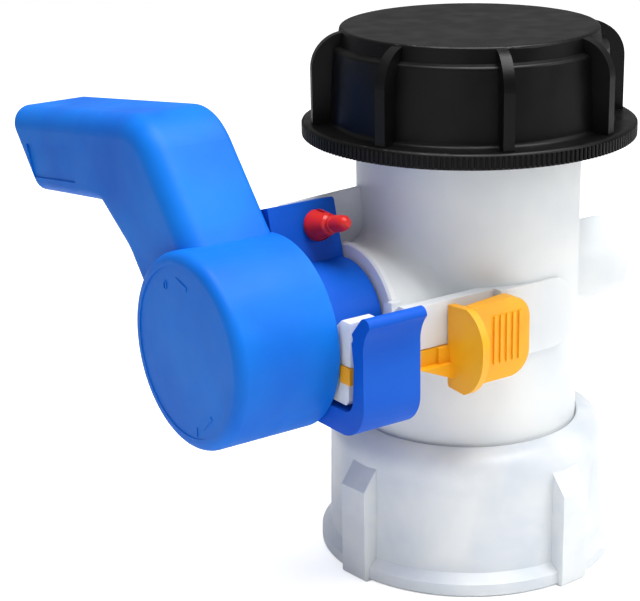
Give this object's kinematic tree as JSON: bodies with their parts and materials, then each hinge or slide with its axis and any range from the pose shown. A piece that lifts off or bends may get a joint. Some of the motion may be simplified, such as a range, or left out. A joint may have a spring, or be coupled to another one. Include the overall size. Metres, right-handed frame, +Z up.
{
  "type": "container outlet valve",
  "caption": "Butterfly valve for a bulk liquid container: white body with union nut, screwed black outlet cap, blue lever with sliding lock latch and tamper pin.",
  "frame": {"origin": "on the pipe axis in the mouth of the union nut, where the valve meets the tank", "axes": "+Z up the pipe towards the outlet cap; the stem lies along X with the handle at -X; the shut lever leans towards +Y"},
  "size_m": [0.1319, 0.1355, 0.1362],
  "materials": {
    "hdpe_natural": "natural translucent HDPE, soft gloss",
    "hdpe_nut": "natural translucent HDPE, soft gloss",
    "black_plastic": "moulded polypropylene, semi-gloss",
    "rubber_grey": "soft flat gasket",
    "pom_white": "acetal, satin",
    "pp_white": "glass-filled polypropylene, satin",
    "epdm_black": "moulded rubber",
    "stainless": "stainless, turned",
    "blue_deep": "moulded polypropylene, semi-gloss",
    "blue_plastic": "moulded polypropylene, semi-gloss",
    "red_plastic": "moulded polyethylene",
    "yellow_plastic": "moulded polypropylene, satin"
  },
  "bodies": {
    "body": {"valve_body": "hdpe_natural", "stem_bush_outer": "pom_white", "stem_bush_tail": "pom_white", "inlet_gasket": "rubber_grey", "nut_retaining_ring": "pom_white"},
    "handle": {"handle_lever": "blue_plastic", "drive_collar": "blue_deep", "hub_screws": "stainless", "stem": "pp_white", "stem_end_washer": "stainless", "stem_end_screw": "stainless", "thrust_washer": "pom_white", "stem_retaining_clip": "stainless", "stem_o_rings": "epdm_black", "butterfly_disc": "pp_white", "disc_edge_seal": "epdm_black", "disc_screws": "stainless"},
    "nut": {"union_nut": "hdpe_nut"},
    "cap_seal": {"cap_gasket": "rubber_grey"},
    "cap": {"outlet_cap": "black_plastic"},
    "latch": {"lock_latch": "yellow_plastic"},
    "pin": {"security_pin": "red_plastic"}
  },
  "joints": [
    {"name": "handle_turn", "type": "hinge", "parent": "body", "child": "handle", "pos_m": [0, 0, 0.0691], "axis": [1, 0, 0], "range_deg": [0, 75]},
    {"name": "latch_slide", "type": "slide", "parent": "body", "child": "latch", "axis": [1, 0, 0], "range_m": [0, 0.012]},
    {"name": "pin_pull", "type": "slide", "parent": "handle", "child": "pin", "axis": [0, -0.9659, 0.2588], "range_m": [0, 0.02]},
    {"name": "nut_spin", "type": "hinge", "parent": "body", "child": "nut", "pos_m": [0, 0, 0], "axis": [0, 0, 1], "continuous": true},
    {"name": "cap_lift", "type": "slide", "parent": "body", "child": "cap_seal", "axis": [0, 0, 1], "range_m": [0, 0.0242]},
    {"name": "cap_turn", "type": "hinge", "parent": "cap_seal", "child": "cap", "pos_m": [0, 0, 0.12], "axis": [0, 0, 1], "range_deg": [0, 1440]}
  ],
  "couplings": [
    {"joint": "cap_lift", "follows": "cap_turn", "m_per_rad": 0.00095493}
  ]
}
